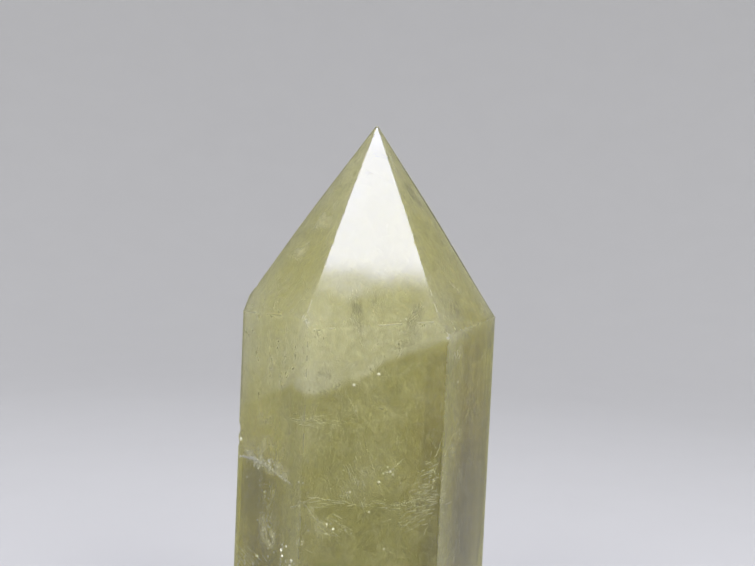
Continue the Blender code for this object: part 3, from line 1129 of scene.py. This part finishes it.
def lay_sheets(name, sheets, more=()):
    bm = bmesh.new()
    bm.verts.layers.float.new("fade")
    for corners, bend, strength in sheets:
        veil(bm, [look_in(pixel, depth * MM) for pixel, depth in corners], bend * MM, strength)
    for corners in more:
        veil(bm, corners, DEEP_VEIL_BEND)
    return new_piece(name, bm)


# %% Veils on the other sides
DEEP_VEILS = 8
DEEP_VEIL_SIZE, DEEP_VEIL_BEND = (9 * MM, 24 * MM), 1.2 * MM
DEEP_VEIL_HEIGHTS = (8 * MM, 84 * MM)
DEEP_VEIL_TURNS = (5, 175)  # towards the back


def deep_veils():
    """Corners of sheets that stand at any angle near the sides and the back of the stone."""
    draw = random.Random(5)
    for _ in range(DEEP_VEILS):
        height = draw.uniform(*DEEP_VEIL_HEIGHTS)
        room = side_flats[0]["reach"] * min(1.0, (solid_high.z - height) / (solid_high.z - CROWN_FROM))
        middle = direction(draw.uniform(*DEEP_VEIL_TURNS)) * room * draw.uniform(0.45, 0.85)
        middle.z = height
        width, length = (draw.uniform(*DEEP_VEIL_SIZE) / 2 for _ in range(2))
        across = direction(draw.uniform(0, 360), draw.uniform(-25, 25)) * width
        along = across.cross(direction(draw.uniform(0, 360), draw.uniform(-40, 40))).normalized() * length
        yield [
            middle + across * one + along * other for one, other in ((-1, -1), (1, -1), (1, 1), (-1, 1))
        ]


# %% Paint the veils
VEIL_COLOUR, VEIL_ROUGH = (0.95, 0.93, 0.74, 1), 0.45
VEIL_SCALE, VEIL_COVER, VEIL_GRAIN = 380.0, 0.80, 0.25


def healed_veil():
    material, tree, shader = new_material("healed_veil")
    where = add_node(tree, "ShaderNodeTexCoord").outputs["Object"]
    fade = add_node(tree, "ShaderNodeAttribute", attribute_name="fade").outputs["Fac"]
    mask = wispy(tree, where, VEIL_SCALE, VEIL_COVER, VEIL_GRAIN)
    alpha = combine(tree, "MULTIPLY", mask, fade)
    tree.links.new(alpha, shader.inputs["Alpha"])
    shader.inputs["Base Color"].default_value = VEIL_COLOUR
    shader.inputs["Roughness"].default_value = VEIL_ROUGH
    return material


DUST_COLOUR, DUST_COVER, DUST_ROUGH = (0.16, 0.15, 0.055, 1), 0.8, 0.8
DUST_STREAKS, DUST_DRAWN_OUT = 1500.0, (1, 1, 0.22)


def drawn_out_dust():
    """Dark dust in a sheet, in fine streaks that mostly stand upright."""
    material, tree, shader = new_material("drawn_out_dust")
    where = add_node(tree, "ShaderNodeTexCoord").outputs["Object"]
    fade = add_node(tree, "ShaderNodeAttribute", attribute_name="fade").outputs["Fac"]
    streaks = cloud(tree, where, DUST_STREAKS, 0.35, 0.70, detail=4.0, distortion=0.3, stretch=DUST_DRAWN_OUT)
    alpha = combine(tree, "MULTIPLY", streaks, fade)
    tree.links.new(combine(tree, "MULTIPLY", alpha, DUST_COVER), shader.inputs["Alpha"])
    shader.inputs["Base Color"].default_value = DUST_COLOUR
    shader.inputs["Roughness"].default_value = DUST_ROUGH
    return material


veils = lay_sheets("veils", VEILS, deep_veils())
veils.data.materials.append(healed_veil())
smears = lay_sheets("dust_smears", SMEARS_OF_DUST)
smears.data.materials.append(drawn_out_dust())
print(len(VEILS), "veils in front and", DEEP_VEILS, "behind, with", len(veils.data.polygons), "faces")

# %% [markdown]
# ## Sparkles
#
# Where a crack has opened a little, it breaks up into small plates that flash white, and single grains and
# bubbles shine as dots. The plates are thin six-sided discs, turned nearly the way that sends the nearer
# fill's light to the camera. Plates turned at random would be as easy, but few of them would flash. The left
# crack's rim is a chain of small bright grains along its line.

# %% Sparkling plates and grains
PLATES = (  # middle, spread in pixels, depths and widths in mm, count
    ((262, 463), (7, 3), (0.4, 1.2), (0.20, 0.60), 60),
    ((264, 500), (4, 11), (0.8, 2.4), (0.15, 0.45), 34),
    ((268, 530), (4, 8), (0.8, 2.0), (0.20, 0.60), 30),
    ((284, 552), (8, 8), (0.8, 2.6), (0.15, 0.50), 34),
    ((247, 558), (7, 6), (0.6, 1.8), (0.20, 0.70), 22),
    ((262, 414), (4, 3), (1.0, 2.0), (0.15, 0.35), 12),
    ((331, 530), (9, 6), (2.0, 4.5), (0.12, 0.35), 26),
    ((306, 321), (2, 4), (0.8, 1.4), (0.15, 0.35), 12),
    ((352, 485), (10, 10), (2.0, 5.0), (0.12, 0.30), 26),
    ((420, 495), (18, 14), (2.0, 5.0), (0.12, 0.30), 34),
    ((390, 472), (3, 2), (2.5, 4.0), (0.20, 0.50), 10),
    ((335, 425), (24, 12), (2.0, 6.0), (0.10, 0.25), 22),
    ((395, 450), (40, 34), (1.5, 9.0), (0.08, 0.22), 54),
    ((285, 465), (26, 40), (1.5, 8.0), (0.08, 0.22), 44),
    ((466, 400), (10, 40), (1.0, 5.0), (0.08, 0.22), 26),
    ((285, 275), (18, 24), (0.6, 3.0), (0.08, 0.22), 24),
    ((452, 285), (12, 22), (0.6, 3.0), (0.08, 0.22), 18),
)
BRIGHT_GRAINS = (  # pixel, depth and width in mm
    ((379, 374), 1.2, 0.34), ((354, 385), 1.2, 0.36), ((447.8, 338), 0.8, 0.34), ((406, 319), 0.8, 0.28),
    ((379, 482), 2.0, 0.34), ((281, 550), 1.0, 0.45), ((282, 556), 1.0, 0.35), ((291, 561), 1.2, 0.55),
    ((290, 566), 1.2, 0.50), ((260, 413), 1.2, 0.24), ((303, 483), 2.0, 0.30), ((390.5, 472), 2.5, 0.32),
    ((241, 439), 0.7, 0.50), ((240, 434), 0.6, 0.35), ((333, 529), 2.0, 0.35), ((327, 524), 2.0, 0.30),
    ((369, 512), 3.0, 0.26), ((264, 492), 1.4, 0.28), ((273, 491), 1.4, 0.26), ((247, 477), 0.8, 0.26),
    ((458, 382), 1.5, 0.26), ((350, 492), 2.6, 0.26), ((384, 549), 3.0, 0.26), ((356, 411), 2.6, 0.24),
)
CRACK_RIM = (
    (240, 456), (247, 457), (253, 458), (258, 461), (262, 463), (270, 468), (277, 474), (284, 479), (291, 485),
)
CRACK_DEPTHS, CRACK_BEADS, CRACK_GRAINS = (0.4, 1.4), 170, (0.20 * MM, 0.65 * MM)
PLATE_SCATTER = 0.28


def bent_in(way, normal):
    """A direction in air, as it runs once it is inside a face with this normal."""
    along = (way - normal * way.dot(normal)) / QUARTZ_IOR
    return along + normal * math.sqrt(1 - along.length_squared)


def glint_at(pixel):
    """The way a plate must face, inside the stone, to mirror the nearer fill to this pixel."""
    _, normal, ray = meet(pixel)
    lamp = max((direction(turn, FILL_RISE) for turn in FILL_TURNS), key=lambda way: way.dot(normal))
    return (bent_in(lamp, normal) + bent_in(-ray, normal)).normalized()


def plate(bm, draw, pixel, depth, width, scatter=PLATE_SCATTER):
    """A six-sided disc that nearly mirrors a lamp into the camera."""
    facing = glint_at(pixel) + Vector([draw.gauss(0, scatter) for _ in range(3)])
    turned = facing.to_track_quat("Z", "Y").to_matrix().to_4x4() @ Matrix.Rotation(draw.uniform(0, 3), 4, "Z")
    stretch = Matrix.Diagonal((1, draw.uniform(0.5, 1), 1, 1))
    place = Matrix.Translation(stay_inside(look_in(pixel, depth)))
    bmesh.ops.create_circle(bm, cap_ends=True, segments=6, radius=width / 2, matrix=place @ turned @ stretch)


def grain(bm, draw, place, width):
    """A lumpy little ball."""
    made = bmesh.ops.create_icosphere(bm, subdivisions=2, radius=width / 2)["verts"]
    for vert in made:
        vert.co = stay_inside(place) + vert.co * draw.uniform(0.75, 1.15)


def sparkles():
    draw = random.Random(31)
    bm = bmesh.new()
    for middle, spread, depths, widths, count in PLATES:
        for _ in range(count):
            pixel = [centre + draw.gauss(0, reach) for centre, reach in zip(middle, spread)]
            try:
                plate(bm, draw, pixel, draw.uniform(*depths) * MM, draw.uniform(*widths) * MM)
            except ValueError:
                continue
    for pixel, depth, width in BRIGHT_GRAINS:
        plate(bm, draw, pixel, depth * MM, 1.3 * width * MM, scatter=0.0)
        grain(bm, draw, look_in(pixel, (depth + 0.3) * MM), width * MM)
    for number in range(CRACK_BEADS):
        share = number / CRACK_BEADS
        pixel = along_pixels(CRACK_RIM, share) + Vector((draw.gauss(0, 0.5), draw.gauss(0, 0.5)))
        depth = CRACK_DEPTHS[0] + (CRACK_DEPTHS[1] - CRACK_DEPTHS[0]) * share
        wide = draw.uniform(*CRACK_GRAINS) * (1 - 0.5 * abs(2 * share - 0.8))
        grain(bm, draw, look_in(pixel, depth * MM), wide)
    return new_piece("sparkles", bm)


glints = sparkles()
glints.data.materials.append(plain_mineral("bright_fracture", (0.98, 0.98, 0.93), 0.32, metallic=0.4))
print(len(glints.data.polygons), "faces of sparkling plates and grains")

# %% [markdown]
# ## Dust all through
#
# Between the large flaws the whole stone is full of fine dashes, which mostly follow the long axis of the
# crystal, because tubes grow along it. They are scattered evenly by a seeded draw, thinnest and most
# numerous, so that the stone keeps its grain from every side.

# %% Scatter the fine dashes
FINE_DASHES, FINE_DASH_TILT = 1100, 0.35
FINE_DASH_LENGTHS, FINE_DASH_WIDTHS = (0.4 * MM, 2.6 * MM), (0.03 * MM, 0.09 * MM)
BEAD_FACES = 20


def fine_dashes():
    draw = random.Random(47)
    bm = bmesh.new()
    reach = solid_high.x
    while len(bm.faces) < FINE_DASHES * BEAD_FACES:
        sideways = [draw.uniform(-reach, reach) for _ in range(2)]
        place = Vector((*sideways, draw.uniform(0, solid_high.z)))
        if any(flat["faces"].dot(place) > flat["reach"] - 2 * STAY_IN for flat in flats):
            continue
        along = Vector((draw.gauss(0, FINE_DASH_TILT), draw.gauss(0, FINE_DASH_TILT), 1)).normalized()
        half = along * draw.uniform(*FINE_DASH_LENGTHS) / 2
        bead(bm, place - half, place + half, draw.uniform(*FINE_DASH_WIDTHS))
    return new_piece("fine_dashes", bm)


fine = fine_dashes()
fine.data.materials.append(threads.data.materials[0])
print(len(fine.data.polygons), "faces of fine dashes")

for piece in (threads, dashes, veils, smears, glints, fine):
    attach(piece, "root")

# %% Finish
BOUNCES = 24
scene.view_settings.view_transform = "Standard"
scene.cycles.max_bounces = BOUNCES
scene.cycles.transmission_bounces = BOUNCES
scene.cycles.volume_bounces = BOUNCES
scene.cycles.transparent_max_bounces = 256
